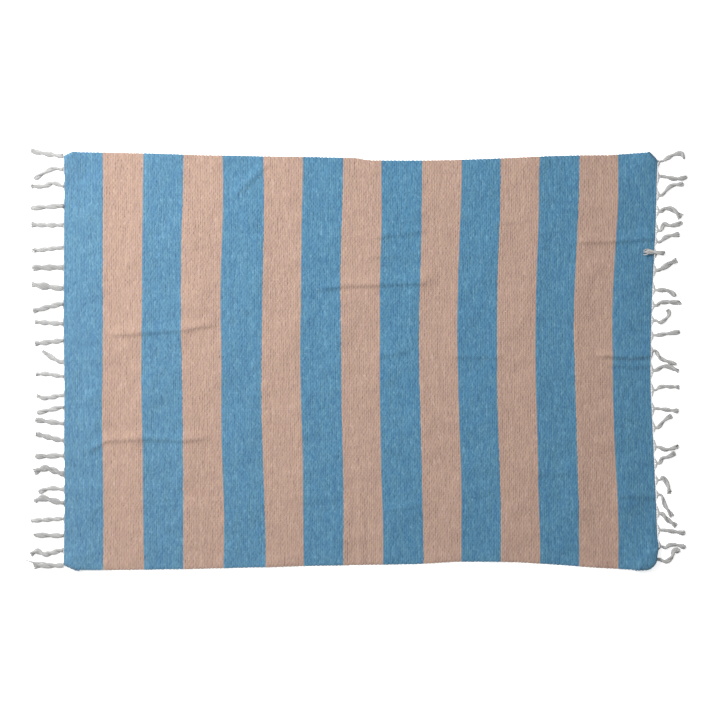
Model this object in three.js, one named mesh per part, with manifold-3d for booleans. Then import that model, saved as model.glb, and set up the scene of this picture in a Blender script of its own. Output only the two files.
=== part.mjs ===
// A flat-woven bath mat with a tasselled fringe, lying flat. Millimetres, +Z up, +X along its length.
//
// Undyed cotton warp runs the whole length in bundles laid side by side. Each bundle is gathered and
// twisted into a tassel where it leaves the cloth, at both ends. Dyed weft runs across it in bands.
// Each band is one flat sleeve: its yarn lies over and under the warp and turns back at both long edges.

import * as THREE from 'three';
import { mergeVertices } from 'three/addons/utils/BufferGeometryUtils.js';
import Module from 'manifold-3d';

const wasm = await Module();
wasm.setup();

// Cloth
const bandCount = 15; // blue first and last, so one more blue than peach
const bandLength = 47.8; // of one band, along the mat
const bandGap = 0.35; // between neighbouring bands
const clothWidth = 510; // at the two ends, where it is widest
const weftLayer = 0.8; // thickness of the weft on each face
const warpLayer = 0.8; // thickness of the warp between the two faces
const fitGap = 0.3; // clearance of the warp from the weft and of one bundle from the next
const selvedgeWall = 2; // weft that turns back at each long edge
const selvedgeClearance = 1.2; // from that wall to the outermost bundle
const tunnelOverrun = 1; // the cutting slab passes this far through both faces of a band

// How the cloth lies: its long edges draw in towards a waist, and its ends bow inwards.
const waistDepth = 10;
const upperWaistAt = 48; // along the mat, from its middle, on the +Y edge
const lowerWaistAt = 145; // the same on the -Y edge
const leftEndBow = 4;
const rightEndBow = 6.5;

// Fringe
const bundleCount = 25;
const tasselLength = 40;
const tasselDiameter = 4.4;
const gatherLength = 5; // over which a flat bundle is drawn together into a tassel
const edgeRun = 1; // a bundle stays flat this far out of the cloth

// Fineness of the solids
const widthSteps = 8; // straight stretches across a band
const stripSteps = 8; // straight stretches along a bundle inside the cloth
const bendSteps = 2; // straight stretches from one bend of a tassel to the next

// Worked out from the sizes above
const clothLength = bandCount * bandLength + (bandCount - 1) * bandGap;
const clothThickness = 2 * (weftLayer + fitGap) + warpLayer;
const bundlePitch = clothWidth / bundleCount;
const tasselRadius = tasselDiameter / 2;

const blueWeft = { color: 0x6292b2, roughness: 0.92, metalness: 0 };
const peachWeft = { color: 0xc0a293, roughness: 0.92, metalness: 0 };
const warpCotton = { color: 0xd6d3cc, roughness: 0.9, metalness: 0 };

// A tassel's route. root is where the tassel starts, sideways from the middle of its place in the row.
// Each bend is [out, aside, lift]: out from the cloth's edge, as a share of the tassel's length; aside
// from the root towards +Y, as a share of the tassel pitch; and lift off the floor in millimetres.
const leftTassels = [
  { root: 0.25, bends: [[1.02, 0.3]] },
  { root: 0.45, bends: [[0.4, 0.05], [0.95, -0.55]] },
  { root: 0.55, bends: [[0.35, 0.1], [0.7, -0.1], [1.07, -0.05]] },
  { root: 0.25, bends: [[1.07, -0.1]] },
  { root: 0.15, bends: [[1.07, 0]] },
  { root: -0.2, bends: [[1.03, -0.2]] },
  { root: -0.4, bends: [[1.07, 0]] },
  { root: -0.65, bends: [[1.1, 0.25]] },
  { root: -0.65, bends: [[1.07, -0.35]] },
  { root: -0.75, bends: [[1.03, 0.1]] },
  { root: -0.8, bends: [[1.03, -0.15]] },
  { root: -1.0, bends: [[0.32, 0], [0.8, 0.6]] },
  { root: -0.9, bends: [[0.75, 0.15], [1.0, 0.1]] },
  { root: -1.0, bends: [[0.75, -0.2], [0.97, -0.05]] },
  { root: -0.75, bends: [[0.32, -0.05], [0.95, -0.35]] },
  { root: -0.7, bends: [[1.0, 0.2]] },
  { root: -0.7, bends: [[0.97, 0.35]] },
  { root: -0.65, bends: [[0.97, -0.05]] },
  { root: -0.7, bends: [[0.65, 0.3], [1.0, 0.05]] },
  { root: -0.65, bends: [[0.5, 0.05], [0.85, -0.2]] },
  { root: -0.45, bends: [[0.75, 0.25], [0.97, 0.05]] },
  { root: -0.45, bends: [[1.07, -0.1]] },
  { root: -0.4, bends: [[0.97, 0]] },
  { root: -0.35, bends: [[0.65, -0.2], [0.87, 0], [1.05, -0.25]] },
  { root: -0.25, bends: [[0.97, 0]] },
];

// One tassel of this row has turned over and lies back on the cloth.
const onCloth = clothThickness + fitGap;
const loopHeight = 7; // from the floor-side run of the loop to the run that comes back
const rightTassels = [
  { root: -0.05, bends: [[0.33, 0.2], [0.6, 0.45], [0.75, 0.45], [0.83, 0.15]] },
  { root: 0, bends: [[0.6, -0.1], [0.93, 0]] },
  { root: -0.05, bends: [[0.43, 0.5], [0.83, 0.65]] },
  { root: -0.05, bends: [[0.25, 0.15], [0.47, 0.15], [0.77, -0.35]] },
  { root: -0.15, bends: [[0.27, 0.35], [0.43, 0.25], [0.83, 0.4]] },
  { root: 0.1, bends: [[0.33, 0.3], [0.75, 0.5]] },
  {
    root: 0.45,
    bends: [
      [0.28, 0, loopHeight / 2],
      [0.18, 0, loopHeight],
      [-0.05, 0.05, (loopHeight + onCloth) / 2],
      [-0.3, 0.1, onCloth],
    ],
  },
  { root: 0.45, bends: [[0.43, 0.3], [0.7, 0.6]] },
  { root: 0.25, bends: [[0.3, 0], [0.47, -0.05], [0.6, -0.2], [0.68, -0.4]] },
  { root: 0.3, bends: [[0.25, 0.2], [0.85, 0.2]] },
  { root: 0.4, bends: [[0.22, -0.1], [0.38, 0.05], [0.52, 0.4], [0.48, 0.7]] },
  { root: 0.55, bends: [[0.85, 0.2]] },
  { root: 0.55, bends: [[0.25, -0.35], [0.75, -0.75]] },
  { root: 0.45, bends: [[0.4, 0.25], [0.83, -0.05]] },
  { root: 0.25, bends: [[0.25, 0.2], [0.83, 0.2]] },
  { root: 0.2, bends: [[0.8, -0.2]] },
  { root: 0.05, bends: [[0.33, 0.35], [0.48, 0.58], [0.58, 0.68]] },
  { root: -0.1, bends: [[0.37, -0.2], [0.77, 0]] },
  { root: -0.1, bends: [[0.25, 0.28], [0.4, 0.35], [0.65, 0.6]] },
  { root: -0.1, bends: [[0.24, 0.15], [0.4, -0.35], [0.45, -0.8]] },
  { root: 0, bends: [[0.3, -0.65], [0.52, -1.3]] },
  { root: -0.1, bends: [[0.3, -0.3], [0.5, -0.6], [0.62, -0.75]] },
  { root: -0.15, bends: [[0.37, 0], [0.88, -0.15]] },
  { root: -0.1, bends: [[0.25, -0.1], [0.4, 0.1], [0.6, 0.1], [0.88, -0.05]] },
  { root: 0.05, bends: [[0.27, -0.05], [0.45, 0.2], [0.53, 0.6], [0.7, 0.6]] },
];

// 1 at the middle of a stretch and 0 at its ends, with level ends.
function swell(share) {
  return Math.cos((Math.PI / 2) * share) ** 2;
}

// How far a long edge has drawn in at x.
function drawIn(x, waistAt) {
  const reach = x < waistAt ? clothLength / 2 + waistAt : clothLength / 2 - waistAt;
  return waistDepth * swell((x - waistAt) / reach);
}

// Where a point of the straight cloth, as it left the loom, comes to lie.
function lay(x, y) {
  const acrossShare = y / (clothWidth / 2);
  const alongShare = x / clothLength + 0.5;
  const bow = THREE.MathUtils.lerp(leftEndBow, -rightEndBow, alongShare);
  const waist = drawIn(x, y > 0 ? upperWaistAt : lowerWaistAt);
  return new THREE.Vector2(x + bow * swell(acrossShare), y - acrossShare * waist);
}

// A closed geometry as a solid that can be cut, and back.
function solidOf(geometry) {
  geometry.deleteAttribute('normal');
  geometry.deleteAttribute('uv');
  const merged = mergeVertices(geometry);
  const vertProperties = merged.getAttribute('position').array;
  const triVerts = new Uint32Array(merged.getIndex().array);
  return new wasm.Manifold(new wasm.Mesh({ numProp: 3, vertProperties, triVerts }));
}

function geometryOf(solid) {
  const { vertProperties, triVerts } = solid.getMesh();
  const geometry = new THREE.BufferGeometry();
  geometry.setAttribute('position', new THREE.BufferAttribute(vertProperties, 3));
  geometry.setIndex(new THREE.BufferAttribute(triVerts, 1));
  const faceted = geometry.toNonIndexed();
  faceted.computeVertexNormals();
  return faceted;
}

// Moves every vertex of a geometry to the place that a function gives for it.
function reshape(geometry, place) {
  const corners = geometry.getAttribute('position');
  for (let i = 0; i < corners.count; i += 1) {
    const moved = place(new THREE.Vector3().fromBufferAttribute(corners, i));
    corners.setXYZ(i, moved.x, moved.y, moved.z);
  }
  geometry.computeVertexNormals();
  return geometry;
}

// A level slab of the cloth between two heights, with the outline that it takes up as it lies.
function slab({ from, to, halfWidth, low, high }) {
  const across = Array.from({ length: widthSteps + 1 }, (_, i) =>
    THREE.MathUtils.lerp(-halfWidth, halfWidth, i / widthSteps));
  const outline = new THREE.Shape([
    ...across.map((y) => lay(to, y)),
    ...across.reverse().map((y) => lay(from, y)),
  ]);
  return new THREE.ExtrudeGeometry(outline, { depth: high - low, bevelEnabled: false }).translate(0, 0, low);
}

// One band of weft: a sleeve, open along the mat, that the warp runs through.
function weftBand(index) {
  const from = index * (bandLength + bandGap) - clothLength / 2;
  const to = from + bandLength;
  const halfWidth = clothWidth / 2;
  const block = slab({ from, to, halfWidth, low: 0, high: clothThickness });
  const tunnel = slab({
    from: from - tunnelOverrun,
    to: to + tunnelOverrun,
    halfWidth: halfWidth - selvedgeWall,
    low: weftLayer,
    high: clothThickness - weftLayer,
  });
  return geometryOf(solidOf(block).subtract(solidOf(tunnel)));
}

// The middle line of a bundle at x, before the cloth is laid. It runs from one root to the other.
function bundleLine(index, x) {
  const place = clothWidth / 2 - (index + 0.5) * bundlePitch;
  const alongShare = THREE.MathUtils.clamp(x / clothLength + 0.5, 0, 1);
  const shift = THREE.MathUtils.lerp(leftTassels[index].root, rightTassels[index].root, alongShare);
  return place + shift * bundlePitch;
}

// The line between a bundle and the one before it. The first and last lines keep off the selvedges.
function bundleEdge(index, x) {
  const outermost = clothWidth / 2 - selvedgeWall - selvedgeClearance;
  if (index === 0) return outermost;
  if (index === bundleCount) return -outermost;
  return (bundleLine(index - 1, x) + bundleLine(index, x)) / 2;
}

// The stations of a bundle inside the cloth. A station is a middle point and two half sizes. Here each
// one squarely faces along the mat.
function clothStations(index) {
  return Array.from({ length: stripSteps + 1 }, (_, i) => {
    const x = THREE.MathUtils.lerp(-clothLength / 2, clothLength / 2, i / stripSteps);
    const upper = lay(x, bundleEdge(index, x));
    const lower = lay(x, bundleEdge(index + 1, x));
    const middle = upper.clone().add(lower).divideScalar(2);
    const atEnd = Math.sign(x) * (i % stripSteps === 0 ? edgeRun : 0);
    return {
      middle: new THREE.Vector3(middle.x + atEnd, middle.y, clothThickness / 2),
      halfWidth: (upper.y - lower.y - fitGap) / 2,
      halfHeight: warpLayer / 2,
      heading: new THREE.Vector3(1, 0, 0),
    };
  });
}

// The stations of a tassel, from its gathered root to its tip. side is -1 at the left end of the mat and
// 1 at the right.
function tasselStations(index, side) {
  const { bends } = (side < 0 ? leftTassels : rightTassels)[index];
  const rootX = (side * clothLength) / 2;
  const root = lay(rootX, bundleLine(index, rootX));
  const point = (out, aside, height) => new THREE.Vector3(root.x + side * out, root.y + aside, height);
  const route = new THREE.CatmullRomCurve3([
    point(edgeRun, 0, clothThickness / 2),
    point(gatherLength, 0, tasselRadius),
    ...bends.map(([out, aside, lift = 0]) =>
      point(out * tasselLength, aside * bundlePitch, tasselRadius + lift)),
  ]);
  const level = bends.every(([, , lift = 0]) => lift === 0);
  const tube = { halfWidth: tasselRadius, halfHeight: tasselRadius, level };
  return Array.from({ length: bendSteps * bends.length + 1 }, (_, i) => {
    const share = (1 + i / bendSteps) / (bends.length + 1);
    return { middle: route.getPoint(share), ...tube };
  });
}

// The heading and the sideways direction at each station. Sideways is +Y in the middle of the bundle and
// is carried along from there to both tips, so that the tassels bend without twisting.
function directions(stations) {
  const courseAt = (i) => {
    const before = stations[Math.max(i - 1, 0)].middle;
    const after = stations[Math.min(i + 1, stations.length - 1)].middle;
    const course = after.clone().sub(before);
    return (stations[i].level ? course.setZ(0) : course).normalize();
  };
  const frames = stations.map(({ heading = null }, i) => (
    { heading: heading ?? courseAt(i), across: new THREE.Vector3(0, 1, 0) }));
  const carry = (from, to) => frames[to].across.copy(frames[from].across)
    .projectOnPlane(frames[to].heading)
    .normalize();
  const centre = Math.floor(stations.length / 2);
  for (let i = centre + 1; i < stations.length; i += 1) carry(i - 1, i);
  for (let i = centre - 1; i >= 0; i -= 1) carry(i + 1, i);
  return frames;
}

// A corner of an eight-sided section of any width and height. corner is that of a regular octagon.
function sectionCorner(corner, { halfWidth, halfHeight }) {
  const cut = Math.min(halfWidth, halfHeight) * (1 - Math.tan(Math.PI / 8));
  const steep = Math.abs(corner.y) > Math.abs(corner.x);
  return new THREE.Vector2(
    Math.sign(corner.x) * (steep ? halfWidth - cut : halfWidth),
    Math.sign(corner.y) * (steep ? halfHeight : halfHeight - cut),
  );
}

// One bundle of warp in one piece: tassel, flat run through all the bands, tassel.
function warpBundle(index) {
  const stations = [
    ...tasselStations(index, -1).reverse(),
    ...clothStations(index),
    ...tasselStations(index, 1),
  ];
  const frames = directions(stations);
  const octagon = new THREE.Shape(Array.from({ length: 8 }, (_, i) => {
    const angle = ((i + 0.5) * Math.PI) / 4;
    return new THREE.Vector2(Math.cos(angle), Math.sin(angle));
  }));
  const steps = stations.length - 1;
  const rod = new THREE.ExtrudeGeometry(octagon, { depth: steps, steps, bevelEnabled: false });
  return reshape(rod, (corner) => {
    const station = stations[Math.round(corner.z)];
    const { heading, across } = frames[Math.round(corner.z)];
    const upwards = heading.clone().cross(across);
    const offset = sectionCorner(corner, station);
    return station.middle.clone().addScaledVector(across, offset.x).addScaledVector(upwards, offset.y);
  });
}

function piece(name, geometry, finish) {
  const mesh = new THREE.Mesh(geometry, new THREE.MeshStandardMaterial(finish));
  mesh.name = name;
  return mesh;
}

const cloth = new THREE.Group();
for (let index = 0; index < bandCount; index += 1) {
  const isBlue = index % 2 === 0;
  const number = Math.floor(index / 2) + 1;
  const name = `${isBlue ? 'blue' : 'peach'}_weft_band_${number}`;
  cloth.add(piece(name, weftBand(index), isBlue ? blueWeft : peachWeft));
}
for (let index = 0; index < bundleCount; index += 1) {
  const number = String(index + 1).padStart(2, '0');
  cloth.add(piece(`warp_bundle_${number}`, warpBundle(index), warpCotton));
}

// The origin is on the floor, under the middle of the whole mat with its fringe.
const extent = new THREE.Box3().setFromObject(cloth);
const middle = extent.getCenter(new THREE.Vector3());
cloth.position.set(-middle.x, -middle.y, -extent.min.z);

const bathMat = new THREE.Group();
bathMat.add(cloth);

export default bathMat;
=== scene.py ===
# %% [markdown]
# A flat-woven bath mat, lying on a pale floor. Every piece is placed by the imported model, which is loaded
# here as a fixed frame: metres, +Z up, +X along the mat, the floor at z = 0.

# %% Load the frame and measure the cloth
import math

import bpy
import numpy as np
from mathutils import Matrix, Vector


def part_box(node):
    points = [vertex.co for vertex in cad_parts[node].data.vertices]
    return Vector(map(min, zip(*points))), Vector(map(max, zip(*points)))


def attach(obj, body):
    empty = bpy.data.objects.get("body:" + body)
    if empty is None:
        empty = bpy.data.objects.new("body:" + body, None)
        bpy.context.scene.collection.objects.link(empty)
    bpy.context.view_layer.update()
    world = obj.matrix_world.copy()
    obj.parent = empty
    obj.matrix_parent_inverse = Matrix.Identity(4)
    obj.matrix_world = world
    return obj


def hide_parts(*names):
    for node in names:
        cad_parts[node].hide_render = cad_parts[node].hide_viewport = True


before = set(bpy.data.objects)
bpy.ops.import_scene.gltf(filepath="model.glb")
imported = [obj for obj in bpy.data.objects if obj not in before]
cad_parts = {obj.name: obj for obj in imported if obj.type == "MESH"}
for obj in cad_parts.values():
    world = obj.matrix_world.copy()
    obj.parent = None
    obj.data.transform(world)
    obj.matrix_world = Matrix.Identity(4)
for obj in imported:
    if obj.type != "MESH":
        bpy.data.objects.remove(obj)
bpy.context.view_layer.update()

bands_in_order = [
    f"{dye}_weft_band_{number}"
    for number in range(1, 9)
    for dye in ("blue", "peach")
    if (dye, number) != ("peach", 8)
]
first_low, first_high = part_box(bands_in_order[0])
_, last_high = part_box(bands_in_order[-1])
cloth_length = last_high.x - first_low.x
cloth_width = first_high.y - first_low.y
cloth_centre = np.array([(first_low.x + last_high.x) / 2, (first_low.y + first_high.y) / 2])
cloth_thickness = first_high.z - first_low.z
print("cloth", round(cloth_length, 4), "by", round(cloth_width, 4), "m, centre", cloth_centre)

# %% [markdown]
# The camera comes first, because it settles what has to be fine and what can be coarse. A mat is shown from
# straight above. A long lens from far away keeps the stripes parallel, as they are on the real object.

# %% The camera, straight above
LENS = 100.0
SENSOR = 36.0
# In metres: how much is seen at the height of the cloth, how far off the middle of the cloth the camera
# stands, and how far it sees.
VIEW_WIDTH = 0.8784
OFF_CENTRE = 0.0012
FARTHEST_SEEN = 20
camera = bpy.data.objects.new("camera", bpy.data.cameras.new("camera"))
camera.data.lens = LENS
camera.data.sensor_width = SENSOR
camera.data.clip_end = FARTHEST_SEEN
camera.location = (
    cloth_centre[0] - OFF_CENTRE,
    cloth_centre[1] + OFF_CENTRE,
    VIEW_WIDTH * LENS / SENSOR + cloth_thickness,
)
bpy.context.scene.collection.objects.link(camera)
bpy.context.scene.camera = camera
print("the camera is", round(camera.location.z, 3), "m above the floor")

# %% [markdown]
# A node tree is easier to read when a value in it can be added and multiplied like a number. A Field wraps
# a socket, and each sum or product of Fields becomes a Math node. The same few helpers serve Geometry Nodes
# and materials, because both use the same Math node.

# %% Helpers for sums in a node tree
MM = 0.001


def plug(tree, socket, value):
    """Link a Field or a socket to a socket, or set the socket to a plain value."""
    if isinstance(value, Field):
        value = value.socket
    if isinstance(value, bpy.types.NodeSocket):
        tree.links.new(value, socket)
    else:
        socket.default_value = value


def add(tree, kind, inputs=None, **settings):
    """Add a node with its settings, and fill its inputs by name or by place."""
    node = tree.nodes.new(kind)
    for name, value in settings.items():
        setattr(node, name, value)
    for place, value in (inputs or {}).items():
        plug(tree, node.inputs[place], value)
    return node


class Field:
    """A value in a node tree that can be reckoned with like a number."""

    def __init__(self, tree, socket):
        self.tree = tree
        self.socket = socket

    def reckon(self, operation, *others):
        values = dict(enumerate((self, *others)))
        node = add(self.tree, "ShaderNodeMath", values, operation=operation)
        return Field(self.tree, node.outputs[0])

    def __add__(self, other):
        return self.reckon("ADD", other)

    def __sub__(self, other):
        return self.reckon("SUBTRACT", other)

    def __mul__(self, other):
        return self.reckon("MULTIPLY", other)

    def __truediv__(self, other):
        return self.reckon("DIVIDE", other)

    def between(self, low, high):
        """0 below low, 1 above high, and a smooth rise from one to the other."""
        inputs = {"Value": self, "From Min": low, "From Max": high}
        node = add(self.tree, "ShaderNodeMapRange", inputs, interpolation_type="SMOOTHSTEP")
        return Field(self.tree, node.outputs["Result"])

    def scaled(self, low, high):
        """The value, from 0 to 1, spread from low to high."""
        return self * (high - low) + low


def vector(tree, x=0.0, y=0.0, z=0.0):
    node = add(tree, "ShaderNodeCombineXYZ", {0: x, 1: y, 2: z})
    return Field(tree, node.outputs[0])


def parts(tree, socket):
    node = add(tree, "ShaderNodeSeparateXYZ", {0: socket})
    return [Field(tree, output) for output in node.outputs]


def vector_sum(tree, *values):
    total = values[0]
    for value in values[1:]:
        node = add(tree, "ShaderNodeVectorMath", {0: total, 1: value}, operation="ADD")
        total = Field(tree, node.outputs[0])
    return total


def vector_times(tree, value, factor):
    node = add(tree, "ShaderNodeVectorMath", {0: value, "Scale": factor}, operation="SCALE")
    return Field(tree, node.outputs[0])


def noise(tree, place, detail=2.0, roughness=0.5):
    inputs = {"Vector": place, "Scale": 1.0, "Detail": detail, "Roughness": roughness}
    node = add(tree, "ShaderNodeTexNoise", inputs)
    return Field(tree, node.outputs[0])


print("a Field can be reckoned with: +, -, *, /, between and scaled")

# %% [markdown]
# Yarn and thread are made alike: a line is reckoned, a ring is swept along it, and the ring's points are
# moved. The line stores what the ring has to know later, such as where its middle is. These helpers are the
# parts that every such tree needs.

# %% Helpers for trees that sweep a ring along a line
def geometry_tree(name, sizes):
    """A Geometry Nodes tree with named inputs. sizes gives each input's name and kind."""
    tree = bpy.data.node_groups.new(name, "GeometryNodeTree")
    tree.interface.new_socket("Geometry", in_out="INPUT", socket_type="NodeSocketGeometry")
    for label, kind in sizes.items():
        tree.interface.new_socket(label, in_out="INPUT", socket_type=f"NodeSocket{kind}")
    tree.interface.new_socket("Geometry", in_out="OUTPUT", socket_type="NodeSocketGeometry")
    inputs = tree.nodes.new("NodeGroupInput").outputs
    return tree, {label: Field(tree, inputs[label]) for label in ("Geometry", *sizes)}


def store(tree, geometry, name, value, kind="FLOAT_VECTOR", domain="POINT"):
    """Keep a value on the geometry under a name."""
    inputs = {"Geometry": geometry, "Name": name, "Value": value}
    node = add(tree, "GeometryNodeStoreNamedAttribute", inputs, data_type=kind, domain=domain)
    return node.outputs[0]


def recall(tree, name, kind="FLOAT_VECTOR"):
    """Read back what was stored under a name."""
    return add(tree, "GeometryNodeInputNamedAttribute", {"Name": name}, data_type=kind).outputs[0]


def here(tree):
    """The place of each point."""
    return add(tree, "GeometryNodeInputPosition").outputs[0]


def tube_along(tree, line, radius, sides, scale=1.0):
    """Sweep a ring along a line, and close both ends."""
    ring = add(tree, "GeometryNodeCurvePrimitiveCircle", {"Resolution": sides, "Radius": radius})
    inputs = {"Curve": line, "Profile Curve": ring.outputs[0], "Scale": scale, "Fill Caps": True}
    return add(tree, "GeometryNodeCurveToMesh", inputs).outputs[0]


def off_middle(tree):
    """How far each point is from the middle of its ring, in x, y and z."""
    inputs = {0: here(tree), 1: recall(tree, "middle")}
    return parts(tree, add(tree, "ShaderNodeVectorMath", inputs, operation="SUBTRACT").outputs[0])


def finish_tree(tree, geometry, material):
    """Every tree ends alike: smooth shading, real geometry and a material."""
    smooth = add(tree, "GeometryNodeSetShadeSmooth", {"Geometry": geometry})
    real = add(tree, "GeometryNodeRealizeInstances", {"Geometry": smooth.outputs[0]})
    inputs = {"Geometry": real.outputs[0], "Material": material}
    dressed = add(tree, "GeometryNodeSetMaterial", inputs)
    add(tree, "NodeGroupOutput", {"Geometry": dressed.outputs[0]})


print("a tree can store, recall, sweep a tube and finish")

# %% [markdown]
# A modifier gives its result only while it is there. So each tree is run once on a small start mesh, its
# result is copied to a plain mesh, and the start mesh goes. The plain mesh can then be bent, and shown as a
# piece.

# %% Helpers that turn a tree into a piece
def grow(name, tree, values, start=None):
    """Run a tree with these input values on a start mesh, and give back the result as a plain mesh."""
    seed_mesh = start or bpy.data.meshes.new("seed")
    seedling = bpy.data.objects.new("seedling", seed_mesh)
    bpy.context.scene.collection.objects.link(seedling)
    modifier = seedling.modifiers.new("grow", "NODES")
    modifier.node_group = tree
    for item in tree.interface.items_tree:
        if item.in_out == "INPUT" and item.name in values:
            modifier[item.identifier] = values[item.name]
    evaluated = seedling.evaluated_get(bpy.context.evaluated_depsgraph_get())
    mesh = bpy.data.meshes.new_from_object(evaluated)
    bpy.data.objects.remove(seedling)
    bpy.data.meshes.remove(seed_mesh)
    mesh.name = name
    return mesh


def piece(name, mesh, slot, *nodes):
    """Show a finished mesh as a piece of the mat that stands for these CAD nodes."""
    shown = bpy.data.objects.new(name, mesh)
    bpy.context.scene.collection.objects.link(shown)
    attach(shown, "root")
    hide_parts(*nodes)
    return shown


def corners(mesh):
    points = np.empty(len(mesh.vertices) * 3)
    mesh.vertices.foreach_get("co", points)
    return points.reshape(-1, 3)


def move_corners(mesh, points):
    mesh.vertices.foreach_set("co", points.ravel())
    mesh.update()


print("every piece rides the one body of the mat")

# %% [markdown]
# A plain pale floor, and light as in a studio: one soft lamp high on the upper left, which draws the relief
# of the weave and the creases, and a large weak one overhead with a pale surround, which fill the shadows.

# %% The floor and the lights
WHITE = (1, 1, 1, 1)
FLOOR_HALF = 10.0
FLOOR_CORNERS = ((-1, -1), (1, -1), (1, 1), (-1, 1))
FLOOR_FINISH = {
    "Base Color": (0.93, 0.93, 0.93, 1),
    "Roughness": 0.9,
    "Emission Color": WHITE,
    "Emission Strength": 0.45,
}
floor_mesh = bpy.data.meshes.new("floor")
floor_points = [(x * FLOOR_HALF, y * FLOOR_HALF, 0) for x, y in FLOOR_CORNERS]
floor_mesh.from_pydata(floor_points, [], [(0, 1, 2, 3)])
floor = bpy.data.objects.new("floor", floor_mesh)
bpy.context.scene.collection.objects.link(floor)
floor_paint = bpy.data.materials.new("pale floor")
floor_paint.use_nodes = True
floor_shader = floor_paint.node_tree.nodes["Principled BSDF"]
for socket, value in FLOOR_FINISH.items():
    floor_shader.inputs[socket].default_value = value
floor_mesh.materials.append(floor_paint)

# Each lamp: its place and its width in metres, and its power in watts. It points at the mat's middle.
LAMPS = {
    "key lamp": ((-0.86, 0.66, 1.22), 0.7, 43.4),
    "fill lamp": ((-0.2, 0.2, 3.2), 2.5, 24),
}
for name, (place, size, power) in LAMPS.items():
    light = bpy.data.lights.new(name, "AREA")
    light.shape = "DISK"
    light.size = size
    light.energy = power
    lamp = bpy.data.objects.new(name, light)
    lamp.location = place
    lamp.rotation_euler = (-lamp.location).to_track_quat("-Z", "Y").to_euler()
    bpy.context.scene.collection.objects.link(lamp)

SURROUND_STRENGTH = 0.4
surround = bpy.data.worlds.new("studio")
surround.use_nodes = True
surround.node_tree.nodes["Background"].inputs["Color"].default_value = WHITE
surround.node_tree.nodes["Background"].inputs["Strength"].default_value = SURROUND_STRENGTH
bpy.context.scene.world = surround
bpy.context.scene.view_settings.view_transform = "Standard"
print(len(LAMPS), "lamps, and a surround of strength", SURROUND_STRENGTH)

# %% [markdown]
# A woven cloth is easiest to make as it sits on the loom, flat and square, and then to lay down. That second
# step begins with how the cloth lies in the plane of the floor: its bands differ a little in length, its
# stripes bow, and its long edges draw in. Warp, weft and tassels all go through the same steps, so they stay
# together.

# %% How the cloth lies
# The length of each band along the middle of the mat, in mm. They are never quite equal.
BAND_LENGTHS = np.array(
    [46.8, 47.6, 48.6, 48.4, 50.0, 47.4, 48.8, 47.6, 48.8, 46.6, 47.4, 47.4, 47.4, 46.4, 46.4]
)
LEFT_END_AT_MIDDLE = -361.2  # mm from the centre of the cloth
# Each long edge draws in by this much at its waist, which is here along the mat, in mm.
WAIST_DEPTH = 10.0
UPPER_WAIST = 48
LOWER_WAIST = 145
half_length = cloth_length / 2 / MM
half_width = cloth_width / 2 / MM


def swell(share):
    """1 at the middle of a stretch and 0 at its ends, with level ends."""
    return np.cos(np.pi / 2 * np.clip(share, -1, 1)) ** 2


def draw_in(x, waist_at):
    reach = np.where(x < waist_at, half_length + waist_at, half_length - waist_at)
    return WAIST_DEPTH * swell((x - waist_at) / reach)


# Warp and weft are never evenly spaced: each pair is a wavelength in mm and how far it moves them, in mm.
UNEVEN_ACROSS = [(7.3, 0.22), (11.9, 0.3), (19.7, 0.45), (43.0, 0.6)]
UNEVEN_ALONG = [(6.1, 0.12), (9.7, 0.2), (17.3, 0.35), (37.0, 0.5)]
# Each wave starts elsewhere than the one before, and its start drifts over this many mm by this much.
START_STEP = 1.7
DRIFT_LENGTH = 61
DRIFT_TURN = 1.9


def uneven(place, drift, waves):
    """A small irregular shift that repeats nowhere within the mat."""
    total = np.zeros_like(place)
    for number, (length, shift) in enumerate(waves):
        drifting = DRIFT_TURN * np.sin(drift / DRIFT_LENGTH + number)
        total += shift * np.sin(place * 2 * math.pi / length + number * START_STEP + drifting)
    return total


print("the bands lie", round(BAND_LENGTHS.sum(), 1), "mm long, of", round(2 * half_length, 1))

# %% [markdown]
# The bow, the slant and the wandering edges are small and irregular, so no formula gives them. A few places
# along the mat with a shift at each are enough, and np.interp fills in between.

# %% Bow, slant and edges
# The two ends of a stripe lie to the right of the rest of it: places along the mat, and how far, in mm.
BOW_PLACES = [-361, -310, -265, 0, 175, 361]
BOWS = [0.5, 0.5, 3.0, 3.2, 4.8, 7.6]
BOW_MIDDLE = 30
# The stripes also slant by up to this much, most of all here, and less and less up to this far from it.
SLANT = -0.8
SLANT_MIDDLE = -60
SLANT_REACH = 400
# Places along each long edge, and how far it lies towards +Y there, in mm.
UPPER_PLACES = [-361, -200, -60, -10, 8, 60, 240, 300, 361]
UPPER_SHIFTS = [0, 0, 2.6, 2.6, 0, 0, -1, -2.6, 0]
LOWER_PLACES = [-361, -200, -60, 60, 110, 361]
LOWER_SHIFTS = [0, -1, -1.5, -2.5, 0, 0]
EVEN_NEAR_EDGE = 12


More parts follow.
